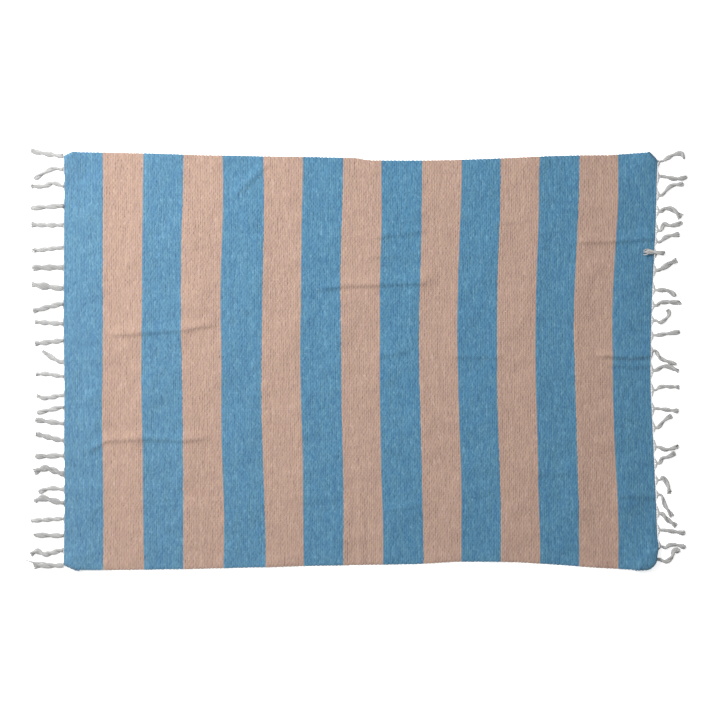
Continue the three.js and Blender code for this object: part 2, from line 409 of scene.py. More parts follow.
def laid_flat(x, y):
    """Where a point of the cloth on the loom lies on the floor. Millimetres from the cloth's centre."""
    inside = np.clip((half_width - np.abs(y)) / EVEN_NEAR_EDGE, 0, 1)
    y = y + uneven(y, x, UNEVEN_ACROSS) * inside
    x = x + uneven(x, y, UNEVEN_ALONG)
    edges = np.linspace(-half_length, half_length, len(BAND_LENGTHS) + 1)
    rests = LEFT_END_AT_MIDDLE + np.concatenate([[0], np.cumsum(BAND_LENGTHS)])
    across = y / half_width
    bow = np.interp(x, BOW_PLACES, BOWS)
    bow_reach = half_width + BOW_MIDDLE * np.sign(BOW_MIDDLE - y)
    bow_share = 1 - swell((y - BOW_MIDDLE) / bow_reach)
    slant = SLANT * across * swell((x - SLANT_MIDDLE) / SLANT_REACH)
    x_laid = np.interp(x, edges, rests) + bow * bow_share + slant
    x_laid += np.where(x < edges[0], x - edges[0], 0) + np.where(x > edges[-1], x - edges[-1], 0)
    waist = np.where(y > 0, draw_in(x, UPPER_WAIST), draw_in(x, LOWER_WAIST))
    upper_edge = np.interp(x, UPPER_PLACES, UPPER_SHIFTS)
    lower_edge = np.interp(x, LOWER_PLACES, LOWER_SHIFTS)
    y_laid = y - across * waist + across ** 2 * np.where(y > 0, upper_edge, lower_edge)
    return x_laid, y_laid


middle_x, middle_y = laid_flat(np.zeros(1), np.zeros(1))
print("the centre of the cloth moves by", middle_x.round(2), middle_y.round(2), "mm")

# %% [markdown]
# Cotton keeps the folds of its package as low ridges. Each crease here is a short line with a height: the
# cloth rises gently on the far side of it and drops sharply on the near side, which is the side in shadow.

# %% Creases
# Each crease: its points in mm from the cloth's centre, and its height in mm.
CREASES = [
    ([(-295, 33), (-278, 34), (-217, 39), (-189, 43)], 1.5),
    ([(-326, -106), (-312, -97), (-267, -94), (-215, -96), (-196, -94)], 1.5),
    ([(-150, 206), (-120, 235)], 1.3),
    ([(27, 153), (73, 159)], 1.4),
    ([(12, 128), (38, 128)], 1.0),
    ([(-43, 89), (-22, 92), (24, 94), (73, 96)], 1.7),
    ([(27, 7), (49, 11)], 1.1),
    ([(168, 169), (218, 173)], 0.7),
    ([(271, 146), (300, 146), (356, 150)], 1.8),
    ([(120, 6), (166, 6)], 1.1),
    ([(299, 7), (330, 5), (353, 7)], 2.7),
    ([(310, -3), (330, -6), (353, -4)], 1.3),
    ([(224, -138), (264, -138)], 0.8),
    ([(320, -164), (359, -165)], 1.0),
    ([(38, -181), (72, -175)], 0.8),
    ([(-1, -151), (-1, -248)], 0.6),
    ([(343, -246), (350, -238), (353.5, -220), (356, -200)], 0.8),
    ([(332, -212), (343, -222)], 0.9),
]
# In mm: how wide a crease is on its far and on its near side, how soon it fades past its ends, and how far
# from its line it is reckoned. Then by how much all the heights are raised.
FAR_SLOPE = 7.0
NEAR_SLOPE = 3.2
CREASE_FADE = 9.0
CREASE_REACH = 30
CREASE_STRENGTH = 1.45


def crease_height(x, y, points, height):
    """The lift of one crease at each place: the most that any stretch of its line gives."""
    lift = np.zeros(x.shape)
    for (x0, y0), (x1, y1) in zip(points, points[1:]):
        length = math.hypot(x1 - x0, y1 - y0)
        along_x, along_y = (x1 - x0) / length, (y1 - y0) / length
        along = (x - x0) * along_x + (y - y0) * along_y
        side = (y - y0) * along_x - (x - x0) * along_y
        beyond = np.maximum(np.maximum(-along, along - length), 0)
        slope = np.where(side > 0, FAR_SLOPE, NEAR_SLOPE)
        here = CREASE_STRENGTH * height * np.exp(-((side / slope) ** 2) - (beyond / CREASE_FADE) ** 2)
        lift = np.maximum(lift, here)
    return lift


print(len(CREASES), "creases, the highest", max(height for _, height in CREASES) * CREASE_STRENGTH, "mm")

# %% [markdown]
# Between its creases a soft cloth isn't flat either. A few long low waves in all directions stand for that,
# and where they would sink into the floor they are pressed flat. relief() adds waves and creases up.

# %% The slight waves, and how far the cloth is off the floor
WAVE_COUNT = 16
WAVE_LENGTHS = (24, 90)
WAVE_STARTS = (0, 6.28)
WAVE_STEEPNESS = 0.0045
USUAL_LIFT = 0.5
LEAST_LIFT = 0.1
rng = np.random.default_rng(7)
# Each wave: its length in mm, its direction and where it starts.
WAVES = [
    (rng.uniform(*WAVE_LENGTHS), rng.uniform(0, math.pi), rng.uniform(*WAVE_STARTS))
    for _ in range(WAVE_COUNT)
]


def relief(x, y):
    """How far the underside of the cloth is off the floor, in mm."""
    lift = np.zeros(x.shape)
    for length, heading, start in WAVES:
        turn = (x * math.cos(heading) + y * math.sin(heading)) * 2 * math.pi / length
        lift += WAVE_STEEPNESS * length * np.sin(turn + start)
    lift = np.maximum(lift + USUAL_LIFT, LEAST_LIFT * np.tanh(lift) + LEAST_LIFT)
    for points, height in CREASES:
        near = (
            (x > min(p[0] for p in points) - CREASE_REACH)
            & (x < max(p[0] for p in points) + CREASE_REACH)
            & (y > min(p[1] for p in points) - CREASE_REACH)
            & (y < max(p[1] for p in points) + CREASE_REACH)
        )
        if near.any():
            lift[near] += crease_height(x[near], y[near], points, height)
    return lift


print(len(WAVES), "waves, from", round(min(WAVES)[0]), "to", round(max(WAVES)[0]), "mm long")

# %% [markdown]
# All four corners of this mat have rolled under. A corner is bent round a line, as a sheet of paper is bent
# round a pencil: what lies beyond the line goes down round a half circle and comes back beneath the cloth,
# which rises to make room for it. Moving the points keeps the weave whole, where cutting the corner off
# would not.

# %% The rolled corners
# Three corners are rolled along a straight line: a point on it, in mm, and the way out.
STRAIGHT_ROLLS = [
    ((-356.4, 249.5), (-0.47, 0.883)),
    ((354.6, 247.7), (0.73, 0.683)),
    ((-354.3, -249.2), (-0.41, -0.912)),
]
STRAIGHT_RADIUS = 1.6
# The fourth is rolled round a curve: the middle of that curve, and its radius. Along the two edges the roll
# fades out, as its line drifts off the cloth.
ROUND_MIDDLE = (345.0, -239.0)
ROUND_REACH = 12.1
ROUND_DRIFT = 5.0
ROUND_FADE = 24.0
ROUND_RADIUS = 2.4
# How far from a corner the cloth rises, and the room that the doubled cloth needs, in mm.
LIFT_REACH = 20.0
DOUBLED_CLOTH = 2.4
TINY = 1e-6
OFF_FLOOR = 0.1


def roll_under(x, y, z, beyond, out_x, out_y, radius, from_corner):
    """Roll what lies beyond a line under the cloth, which rises near the corner to make room."""
    lift = (2 * radius + DOUBLED_CLOTH) * np.exp(-((from_corner / LIFT_REACH) ** 2))
    angle = np.clip(beyond / radius, 0, math.pi)
    flat_again = np.maximum(beyond - math.pi * radius, 0)
    bent = beyond > 0
    shift = np.where(bent, (radius + z) * np.sin(angle) - beyond - flat_again, 0)
    height = np.where(bent, (radius + z) * np.cos(angle) - radius, z)
    return x + out_x * shift, y + out_y * shift, height + lift


def turn_corners(x, y, z):
    for (px, py), (out_x, out_y) in STRAIGHT_ROLLS:
        beyond = (x - px) * out_x + (y - py) * out_y
        from_corner = np.hypot(x - px, y - py)
        x, y, z = roll_under(x, y, z, beyond, out_x, out_y, STRAIGHT_RADIUS, from_corner)
    right, down = x - ROUND_MIDDLE[0], ROUND_MIDDLE[1] - y
    out_right, out_down = np.maximum(right, 0), np.maximum(down, 0)
    reach = np.hypot(out_right, out_down) + TINY
    past_curve = np.maximum(-np.minimum(right, down), 0)
    line = ROUND_REACH + ROUND_DRIFT * (1 - swell(past_curve / ROUND_FADE))
    # Near the middle of the curve and inside of it, nothing is rolled.
    beyond = np.where(reach > 1, reach - line, -1)
    from_corner = np.hypot(past_curve, np.maximum(ROUND_REACH - reach, 0))
    return roll_under(x, y, z, beyond, out_right / reach, -out_down / reach, ROUND_RADIUS, from_corner)


def laid(points):
    """Lay points down: from metres on the loom to metres in the frame, never lower than the floor."""
    x, y = laid_flat(points[:, 0] / MM, points[:, 1] / MM)
    ground = relief(x, y)
    x, y, z = turn_corners(x, y, points[:, 2] / MM)
    z = np.maximum(z + ground, OFF_FLOOR)
    return np.stack([x * MM + cloth_centre[0], y * MM + cloth_centre[1], z * MM], axis=1)


print(len(STRAIGHT_ROLLS), "corners rolled along a line, and one round a curve")

# %% [markdown]
# The weft is soft dyed cotton. Dye takes unevenly and the yarn is spun from several batches, so the colour
# drifts along each yarn and jumps from one pick to the next. Fine fibres wind round the yarn, which shows in
# its colour, its roughness and its bump. A plain sheen stands for the fuzz that catches light at the edges.

# %% Cotton for the weft and the warp
# The pale grey into which a painted sheen blends the cotton towards the left end.
SHEEN_GREY = (0.42, 0.42, 0.42, 1)
# A painted sheen whitens the cotton from here to there, in metres from the middle towards the left end, where
# the key lamp stands.
SHEEN_FROM = -0.12
SHEEN_TO = 0.5
WOUND_ROUND = 3
WOUND_ALONG = 2400
# All of these are the same all over the cloth, so they are set on the shader's own sockets.
COTTON_FINISH = {"Specular IOR Level": 0.2, "Sheen Weight": 0.15, "Sheen Roughness": 0.5}


def mixed(tree, share, first, second):
    """Two colours blended: a share of 0 gives the first, and of 1 the second."""
    node = add(tree, "ShaderNodeMix", {0: share, 6: first, 7: second}, data_type="RGBA")
    return node.outputs[2]


def cotton(name, base, drift, fleck, contrast, sheen_share):
    """base is the usual colour, and drift and fleck are others that it wanders towards.

    contrast is how far light and dark fibres differ, and the last argument how strongly a painted sheen
    whitens the left end.
    """
    material = bpy.data.materials.new(name)
    material.use_nodes = True
    tree = material.node_tree
    shader = tree.nodes["Principled BSDF"]
    strand = add(tree, "ShaderNodeAttribute", attribute_name="strand").outputs["Vector"]
    section = add(tree, "ShaderNodeAttribute", attribute_name="section").outputs["Vector"]
    along, pick, _ = parts(tree, strand)
    cosine, sine, _ = parts(tree, section)

    def streaks(per_metre, per_pick, seed, detail=2.0, roughness=0.5):
        """Noise that changes this fast along the yarn and from one pick to the next."""
        place = vector(tree, along * per_metre, pick * per_pick, seed)
        return noise(tree, place, detail, roughness)

    batch = streaks(9, 0.31, 3.0)
    slub = streaks(190, 7.7, 9.0, roughness=0.6)
    jump = streaks(60, 3.3, 5.0, detail=1.0)
    patch = streaks(170, 0.7, 13.0, roughness=0.6)
    fibre_place = vector(tree, along * 420 + cosine * 0.6, pick * 5.1, sine * 2.2)
    fibre = noise(tree, fibre_place, 3.0, 0.65)
    angle = sine.reckon("ARCTAN2", cosine)
    ply = (angle * WOUND_ROUND + along * WOUND_ALONG).reckon("SINE")

    towards_drift = (patch * 0.6 + jump * 0.5 + batch * 0.35).between(0.5, 0.95)
    towards_fleck = (slub * 0.55 + fibre * 0.35 + jump * 0.3).between(0.6, 0.9)
    object_place = add(tree, "ShaderNodeTexCoord").outputs["Object"]
    towards_left = parts(tree, object_place)[0] * -1
    # Painted sheen: towards the left end the colour is blended towards pale grey.
    painted_sheen = towards_left.between(SHEEN_FROM, SHEEN_TO) * sheen_share
    colour = mixed(tree, towards_drift, (*base, 1), (*drift, 1))
    colour = mixed(tree, towards_fleck, colour, (*fleck, 1))
    colour = mixed(tree, painted_sheen, colour, SHEEN_GREY)
    depth = (fibre * 0.35 + slub * 0.2 + patch * 0.45 + ply * 0.03).scaled(1 - contrast, 1 + contrast)
    plug(tree, shader.inputs["Base Color"], vector_times(tree, colour, depth))
    plug(tree, shader.inputs["Roughness"], fibre.scaled(0.99, 0.78))
    bump_height = fibre * 0.5 + ply * 0.25 + slub * 0.25
    bump = add(tree, "ShaderNodeBump", {"Strength": 0.35, "Distance": 0.0004, "Height": bump_height})
    plug(tree, shader.inputs["Normal"], bump.outputs[0])
    for socket, value in COTTON_FINISH.items():
        shader.inputs[socket].default_value = value
    return material


# Only the blue cotton carries the painted sheen at its left end.
blue_cotton = cotton(
    "blue cotton weft",
    base=(0.043, 0.134, 0.238),
    drift=(0.064, 0.167, 0.241),
    fleck=(0.100, 0.212, 0.320),
    contrast=0.6,
    sheen_share=0.05,
)
peach_cotton = cotton(
    "peach cotton weft",
    base=(0.287, 0.190, 0.156),
    drift=(0.315, 0.215, 0.162),
    fleck=(0.355, 0.252, 0.222),
    contrast=0.3,
    sheen_share=0.0,
)
warp_cotton = cotton(
    "undyed cotton warp",
    base=(0.37, 0.37, 0.366),
    drift=(0.29, 0.29, 0.286),
    fleck=(0.47, 0.47, 0.468),
    contrast=0.4,
    sheen_share=0.0,
)
print("three cottons, the blue one of", len(blue_cotton.node_tree.nodes), "nodes")

# %% [markdown]
# A weft-faced weave hides its warp. One weft yarn runs across the mat, over one warp thread and under the
# next, turns round the outermost one and comes back a pick further on, over where it went under. So a whole
# band is one yarn, and a rule says where every point of it is. A grid of bumps would look alike from above,
# but it has no yarn to follow at the selvedge or on the underside. Geometry Nodes suit such a rule: a long
# line of points is told its place by its own number.

# %% Where the yarn of a band goes
# How far a loose end of the yarn reaches out, as a share of the yarn's width.
LOOSE_END = 0.45
# How far the yarn strays along the mat, in picks: with its neighbours, and on its own.
STRAY_TOGETHER = 0.8
STRAY_ALONE = 0.4
# How much more it rises where it strays, and how its height follows its thickness.
STRAY_RISE = 2.4
THICK_RISE = 0.6


def yarn_path(tree, size):
    """The middle line of a band's yarn, with what its section has to know stored on it."""
    run_steps = size["Warps"] * size["Steps per warp"]
    per_pick = run_steps + size["Turn steps"] + 1
    count = size["Picks"] * per_pick - size["Turn steps"]
    line = add(tree, "GeometryNodeCurvePrimitiveLine")
    points = add(tree, "GeometryNodeResampleCurve", {"Curve": line.outputs[0], "Count": count})
    number = Field(tree, add(tree, "GeometryNodeInputIndex").outputs[0])

    pick = (number / per_pick).reckon("FLOOR")
    pick_in_mat = pick + size["First pick"]
    step = number - pick * per_pick
    share = (step / run_steps).reckon("MINIMUM", 1.0)
    turn = (step - run_steps).reckon("MAXIMUM", 0.0) / (size["Turn steps"] + 1) * math.pi
    side = (pick_in_mat.reckon("FLOORED_MODULO", 2.0) * -2) + 1
    run_y = side * (share - 0.5) * size["Band width"]
    along = (run_y / size["Band width"] + 0.5) * math.pi * size["Warps"]
    wave = along.reckon("SINE") * side
    x = size["Band start"] + size["Pick spacing"] * (pick + 1.0 - turn.reckon("COSINE") * 0.5)
    y = run_y + side * size["Turn reach"] * turn.reckon("SINE")
    # The yarn's two loose ends reach as far out as its turns do.
    is_last = number.reckon("GREATER_THAN", count - 1.5)
    is_first = number.reckon("LESS_THAN", 0.5)
    y = y + (is_last - is_first) * side * size["Yarn width"] * LOOSE_END

    def wander(first, across_fineness, seed_step):
        """Smooth noise around 0, which is different in each band."""
        place = vector(tree, first, y * across_fineness, size["Seed"] + seed_step)
        return noise(tree, place) - 0.5

    # How fine each is from pick to pick or along the mat, how fine across it, and a seed of its own.
    stray = wander(x * 90, 28, 0.0)
    own = wander(pick_in_mat * 3.7, 55, 4.0)
    thick = wander(pick_in_mat * 5.3, 75, 8.0)
    # A band's first and last picks stray least, so that its border with the next band stays closed.
    from_edge = pick.reckon("MINIMUM", size["Picks"] - pick - 1.0).between(-2.0, 3.0)
    x = x + (stray * STRAY_TOGETHER + own * STRAY_ALONE) * size["Pick spacing"] * from_edge
    z = size["Middle height"] + wave * size["Rise"] * (own * STRAY_RISE + 1.0) + thick * THICK_RISE * MM
    inputs = {"Geometry": points.outputs[0], "Position": vector(tree, x, y, z)}
    placed = add(tree, "GeometryNodeSetPosition", inputs)
    upright = add(tree, "GeometryNodeSetCurveNormal", {"Curve": placed.outputs[0]}, mode="Z_UP")

    # What each ring remembers: its middle, and the way along its yarn, its pick and how high it rides.
    kept = store(tree, upright.outputs[0], "middle", here(tree))
    strand = vector(tree, share * size["Band width"] * side, pick_in_mat, wave)
    kept = store(tree, kept, "strand", strand)
    return store(tree, kept, "swelling", vector(tree, thick, 0.0, 0.0))


print("one yarn: across, round the outermost warp thread, and back")

# %% [markdown]
# Soft yarn is pressed flat where it crosses the warp, so its section is an oval that is wider than it is
# high, and a little wider still at the top and the bottom of its wave. The ring is swept round and then
# stretched to that oval, point by point.

# %% The weave, as a tree
# The ring is swept this wide, and only then stretched.
UNIT = 1 * MM
# As shares of the yarn's width: how wide it is halfway up its wave, and how much wider at its top and foot.
USUAL_SPREAD = 0.98
WAVE_SPREAD = 0.12
# How far the yarn's thickness varies, and the share of that which shows in its height.
THICK_SPREAD = 0.7
HEIGHT_SHARE = 0.6


def weave_tree():
    sizes = {
        "Picks": "Int",
        "First pick": "Int",
        "Pick spacing": "Float",
        "Band start": "Float",
        "Band width": "Float",
        "Warps": "Int",
        "Steps per warp": "Int",
        "Turn steps": "Int",
        "Turn reach": "Float",
        "Rise": "Float",
        "Middle height": "Float",
        "Yarn width": "Float",
        "Yarn thickness": "Float",
        "Sides": "Int",
        "Seed": "Float",
        "Cotton": "Material",
    }
    tree, size = geometry_tree("weft-faced weave", sizes)
    tube = tube_along(tree, yarn_path(tree, size), UNIT, size["Sides"])
    out_x, out_y, out_z = off_middle(tree)
    _, _, wave = parts(tree, recall(tree, "strand"))
    thick, _, _ = parts(tree, recall(tree, "swelling"))
    spread = wave * wave * WAVE_SPREAD + USUAL_SPREAD
    body = thick * THICK_SPREAD + 1.0
    wide = size["Yarn width"] * 0.5 / UNIT * spread * body
    high = size["Yarn thickness"] * 0.5 / UNIT * (body * HEIGHT_SHARE + (1 - HEIGHT_SHARE))
    oval = vector(tree, out_x * wide, out_y * wide, out_z * high)
    shaped = vector_sum(tree, recall(tree, "middle"), oval)
    soft = add(tree, "GeometryNodeSetPosition", {"Geometry": tube, "Position": shaped})
    section = vector(tree, out_x / UNIT, out_z / UNIT, 0.0)
    finish_tree(tree, store(tree, soft.outputs[0], "section", section), size["Cotton"])
    return tree


weave = weave_tree()
print("the weave is a tree of", len(weave.nodes), "nodes")

# %% [markdown]
# The yarns are thick and soft and the warp is thin, so a few numbers settle how the cloth looks: how many
# picks a band has, how many warp threads they cross, and how thick each is. They are all in one place here.

# %% The sizes of the weave
BAND_COUNT = len(bands_in_order)
PICKS_PER_BAND = 22
WARPS = 150
STEPS_PER_WARP = 2
TURN_STEPS = 4
YARN_SIDES = 6
YARN_THICKNESS = 0.98 * MM
WARP_DIAMETER = 1.4 * MM
PACKED_DIAMETER = 0.3 * MM
MIDDLE_HEIGHT = 1.5 * MM
RISE = 0.11 * MM
TURN_REACH = 0.1 * MM
SELVEDGE = 1.4 * MM
# A yarn is wider than its pick, because its neighbours press it flat and it laps over them.
LAP = 1.33
SEED_STEP = 20.0
band_pitch = cloth_length / BAND_COUNT
pick_spacing = band_pitch / PICKS_PER_BAND
woven_width = cloth_width - 2 * SELVEDGE
print("a pick every", round(pick_spacing / MM, 2), "mm, a warp thread every", end=" ")
print(round(woven_width / WARPS / MM, 2), "mm")

# %% [markdown]
# Each band is grown on the loom, then laid. Its own UV map rolls every pick out as one long narrow strip,
# so that colour baked onto it keeps the same fineness everywhere.

# %% The fifteen bands
# The margin round the whole map, and between two strips as a share of a strip.
MAP_MARGIN = 0.002
STRIP_MARGIN = 0.05
CAP_SPREAD = 0.0005


def unroll(mesh, rings_per_pick, picks, sides):
    """A UV map with one strip for each pick: along the yarn in U, round it in V."""
    loops = np.empty(len(mesh.loops), dtype=np.int64)
    mesh.loops.foreach_get("vertex_index", loops)
    starts = np.empty(len(mesh.polygons), dtype=np.int64)
    mesh.polygons.foreach_get("loop_start", starts)
    totals = np.empty(len(mesh.polygons), dtype=np.int64)
    mesh.polygons.foreach_get("loop_total", totals)
    face = np.repeat(np.arange(len(starts)), totals)
    ring, side = loops // sides, loops % sides
    first_ring = np.minimum.reduceat(ring, starts)[face]
    side_span = np.maximum.reduceat(side, starts) - np.minimum.reduceat(side, starts)
    wraps = (side_span == sides - 1)[face]
    side = np.where(wraps & (side == 0), sides, side)
    pick = first_ring // rings_per_pick
    u = (ring - pick * rings_per_pick) / rings_per_pick
    v = (pick + STRIP_MARGIN + (1 - 2 * STRIP_MARGIN) * side / sides) / picks
    # The caps have no length along the yarn, so they are spread a little.
    is_cap = totals[face] != 4
    u = np.where(is_cap, u + CAP_SPREAD * np.cos(side), u)
    layer = mesh.uv_layers.new(name="OFBake")
    places = np.stack([u, v], axis=1) * (1 - 2 * MAP_MARGIN) + MAP_MARGIN
    layer.data.foreach_set("uv", places.ravel())


for place, node in enumerate(bands_in_order):
    dye, _, _, number = node.split("_")
    values = {
        "Picks": PICKS_PER_BAND,
        "First pick": place * PICKS_PER_BAND,
        "Pick spacing": pick_spacing,
        "Band start": -cloth_length / 2 + place * band_pitch - pick_spacing / 2,
        "Band width": woven_width,
        "Warps": WARPS,
        "Steps per warp": STEPS_PER_WARP,
        "Turn steps": TURN_STEPS,
        "Turn reach": TURN_REACH,
        "Rise": RISE,
        "Middle height": MIDDLE_HEIGHT,
        "Yarn width": pick_spacing * LAP,
        "Yarn thickness": YARN_THICKNESS,
        "Sides": YARN_SIDES,
        "Seed": SEED_STEP * place,
        "Cotton": blue_cotton if dye == "blue" else peach_cotton,
    }
    mesh = grow(f"{dye}_weft_{number}", weave, values)
    unroll(mesh, WARPS * STEPS_PER_WARP + 1 + TURN_STEPS, PICKS_PER_BAND, YARN_SIDES)
    move_corners(mesh, laid(corners(mesh)))
    piece(mesh.name, mesh, f"{dye}_weft", node)

# %% [markdown]
# Each tassel starts at the end of the cloth and bends its own way, as soft yarn does when it is laid down.
# So every tassel has a short row of bends, and a smooth line goes through them. The warp threads need the
# same lines, to know where their tassels start, so they are reckoned before either is made.

# %% Where each tassel starts and how it bends
TASSELS = 25
TASSEL_LENGTH = 40.0
TASSEL_RADIUS = 2.2
LEFT_BOW = 4.0
RIGHT_BOW = -6.5
LEFT_GATHER = 5.0
RIGHT_GATHER = 5.6
tassel_pitch = 2 * half_width / TASSELS
on_cloth = cloth_thickness / MM + 0.3
LOOP = 7.0
# How far the course starts out of the cloth, in mm.
WAY_OUT = 1.5
# Each tassel: its root, sideways from the middle of its place in the row, as a share of the pitch. Then its
# bends: out from the edge as a share of its length, aside as a share of the pitch, and lift in mm.
LEFT_TASSELS = [
    (0.25, [(1.02, 0.3)]),
    (0.45, [(0.4, 0.05), (0.95, -0.55)]),
    (0.55, [(0.35, 0.1), (0.7, -0.1), (1.07, -0.05)]),
    (0.25, [(1.07, -0.1)]),
    (0.15, [(1.07, 0)]),
    (-0.2, [(1.03, -0.2)]),
    (-0.4, [(1.07, 0)]),
    (-0.65, [(1.1, 0.25)]),
    (-0.65, [(1.07, -0.35)]),
    (-0.75, [(1.03, 0.1)]),
    (-0.8, [(1.03, -0.15)]),
    (-1.0, [(0.32, 0), (0.8, 0.6)]),
    (-0.9, [(0.75, 0.15), (1.0, 0.1)]),
    (-1.0, [(0.75, -0.2), (0.97, -0.05)]),
    (-0.75, [(0.32, -0.05), (0.95, -0.35)]),
    (-0.7, [(1.0, 0.2)]),
    (-0.7, [(0.97, 0.35)]),
    (-0.65, [(0.97, -0.05)]),
    (-0.7, [(0.65, 0.3), (1.0, 0.05)]),
    (-0.65, [(0.5, 0.05), (0.85, -0.2)]),
    (-0.45, [(0.75, 0.25), (0.97, 0.05)]),
    (-0.45, [(1.07, -0.1)]),
    (-0.4, [(0.97, 0)]),
    (-0.35, [(0.65, -0.2), (0.87, 0), (1.05, -0.25)]),
    (-0.25, [(0.97, 0)]),
]
# One tassel on the right has turned over and lies back on the cloth.
FOLDED_BACK = [
    (0.28, 0, LOOP / 2),
    (0.18, 0, LOOP),
    (-0.05, 0.05, (LOOP + on_cloth) / 2),
    (-0.3, 0.1, on_cloth),
]
RIGHT_TASSELS = [
    (-0.05, [(0.33, 0.2), (0.6, 0.45), (0.75, 0.45), (0.83, 0.15)]),
    (0, [(0.6, -0.1), (0.93, 0)]),
    (-0.05, [(0.43, 0.5), (0.83, 0.65)]),
    (-0.05, [(0.25, 0.15), (0.47, 0.15), (0.77, -0.35)]),
    (-0.15, [(0.27, 0.35), (0.43, 0.25), (0.83, 0.4)]),
    (0.1, [(0.33, 0.3), (0.75, 0.5)]),
    (0.45, FOLDED_BACK),
    (0.45, [(0.43, 0.3), (0.7, 0.6)]),
    (0.25, [(0.3, 0), (0.47, -0.05), (0.6, -0.2), (0.68, -0.4)]),
    (0.3, [(0.25, 0.2), (0.85, 0.2)]),
    (0.4, [(0.22, -0.1), (0.38, 0.05), (0.52, 0.4), (0.48, 0.7)]),
    (0.55, [(0.85, 0.2)]),
    (0.55, [(0.25, -0.35), (0.75, -0.75)]),
    (0.45, [(0.4, 0.25), (0.83, -0.05)]),
    (0.25, [(0.25, 0.2), (0.83, 0.2)]),
    (0.2, [(0.8, -0.2)]),
    (0.05, [(0.33, 0.35), (0.48, 0.58), (0.58, 0.68)]),
    (-0.1, [(0.37, -0.2), (0.77, 0)]),
    (-0.1, [(0.25, 0.28), (0.4, 0.35), (0.65, 0.6)]),
    (-0.1, [(0.24, 0.15), (0.4, -0.35), (0.45, -0.8)]),
    (0, [(0.3, -0.65), (0.52, -1.3)]),
    (-0.1, [(0.3, -0.3), (0.5, -0.6), (0.62, -0.75)]),
    (-0.15, [(0.37, 0), (0.88, -0.15)]),
    (-0.1, [(0.25, -0.1), (0.4, 0.1), (0.6, 0.1), (0.88, -0.05)]),
    (0.05, [(0.27, -0.05), (0.45, 0.2), (0.53, 0.6), (0.7, 0.6)]),
]
print(len(LEFT_TASSELS), "tassels on the left and", len(RIGHT_TASSELS), "on the right")

# %% [markdown]
# A course has to pass through its bends without kinks. A centripetal Catmull-Rom line does that, and never
# loops or overshoots where two bends are close together, as a plain one would.

# %% The course of each tassel
COURSE_STEPS = 10


def edge_point(side, y):
    """Where the cloth's end is, in metres, at a place across it on the loom."""
    return laid(np.array([[side * cloth_length / 2, y * MM, MIDDLE_HEIGHT]]))[0]


def tassel_course(index, side, root, bends):
    """The points that a tassel passes through, from the cloth to its tip, in metres."""
    y = half_width - (index + 0.5) * tassel_pitch + root * tassel_pitch
    bow = (LEFT_BOW if side < 0 else RIGHT_BOW) * swell(y / half_width)
    edge = edge_point(side, y)
    frame_x = cloth_centre[0] + (side * half_length + bow) * MM
    frame_y = cloth_centre[1] + y * MM
    gather = (LEFT_GATHER if side < 0 else RIGHT_GATHER) * MM
    course = [
        edge + np.array([side * WAY_OUT * MM, 0, 0]),
        np.array([edge[0] + side * gather, edge[1], TASSEL_RADIUS * MM]),
    ]
    for out, aside, *lift in bends:
        height = TASSEL_RADIUS + (lift[0] if lift else 0)
        x = frame_x + side * out * TASSEL_LENGTH * MM
        course.append(np.array([x, frame_y + aside * tassel_pitch * MM, height * MM]))
    return np.array(course)


def blend(points, knots, step, t):
    """Between each two neighbours, the point that t gives when their knots are this many steps apart."""
    return [
        (p * (k1 - t) + q * (t - k0)) / (k1 - k0)
        for p, q, k0, k1 in zip(points, points[1:], knots, knots[step:])
    ]


def smooth_course(course):
    """A centripetal Catmull-Rom line through the points."""
    ends = np.vstack([2 * course[0] - course[1], course, 2 * course[-1] - course[-2]])
    line = []
    for four in zip(ends, ends[1:], ends[2:], ends[3:]):
        knots = np.cumsum([0] + [np.linalg.norm(q - p) ** 0.5 for p, q in zip(four, four[1:])])
        for t in np.linspace(knots[1], knots[2], COURSE_STEPS, endpoint=False):
            near = blend(four, knots, 1, t)
            far = blend(near, knots, 2, t)
            line.append(blend(far, knots[1:3], 1, t)[0])
    return np.array(line + [course[-1]])


courses = {
    side: [smooth_course(tassel_course(i, side, *table[i])) for i in range(TASSELS)]
    for side, table in ((-1, LEFT_TASSELS), (1, RIGHT_TASSELS))
}
print("tassel courses from", len(courses[-1][0]), "to", max(len(c) for c in courses[1]), "points")

# %% [markdown]
# The undyed warp runs the whole length of the mat inside the weft. At both ends its threads leave the cloth
# and are drawn sideways, in small scallops, to the tassel that takes them up. A thread takes the nearest
# tassel, as it would on a real mat, where the fringe is tied by hand. Its last stretch is a curve that hugs
# the edge of the cloth and then turns out into the tassel's root.

# %% The lines of the warp threads
THREAD_STEPS = 130
END_TURN = 0.4 * math.pi
GATHER_STEPS = 6
THREAD_SIDES = 4
# The point of a tassel's course at which its threads come together.
JOIN_POINT = 6
# How far a thread goes straight out at each end, and how far short of the root its curve turns, in mm.
STRAIGHT_OUT = {-1: 2.4, 1: 1.5}
SHORT_OF_ROOT = 2.4
# How much of the way aside it has gone by then.
FIRST_ASIDE = 0.4
LAST_ASIDE = 0.9


def line_mesh(name, lines):
    """A mesh of edges only, one run of edges for each line of points."""
    mesh = bpy.data.meshes.new(name)
    points = np.vstack(lines)
    starts = np.cumsum([0] + [len(line) for line in lines])
    edges = [(i, i + 1) for a, b in zip(starts, starts[1:]) for i in range(a, b - 1)]
    mesh.from_pydata(points.tolist(), edges, [])
    return mesh


def gathered(start, root, side):
    """The points from a thread's way out of the cloth to its tassel's root."""
    aside = root[1] - start[1]
    away_x = start[0] + side * (STRAIGHT_OUT[side] * MM)
    away = np.array([away_x, start[1] + aside * FIRST_ASIDE, start[2]])
    by_root_x = root[0] - side * SHORT_OF_ROOT * MM
    by_root = np.array([by_root_x, start[1] + aside * LAST_ASIDE, root[2]])
    shares = np.linspace(0, 1, GATHER_STEPS + 1)[1:, None]
    return (
        start * (1 - shares) ** 3
        + 3 * away * shares * (1 - shares) ** 2
        + 3 * by_root * shares**2 * (1 - shares)
        + root * shares**3
    )


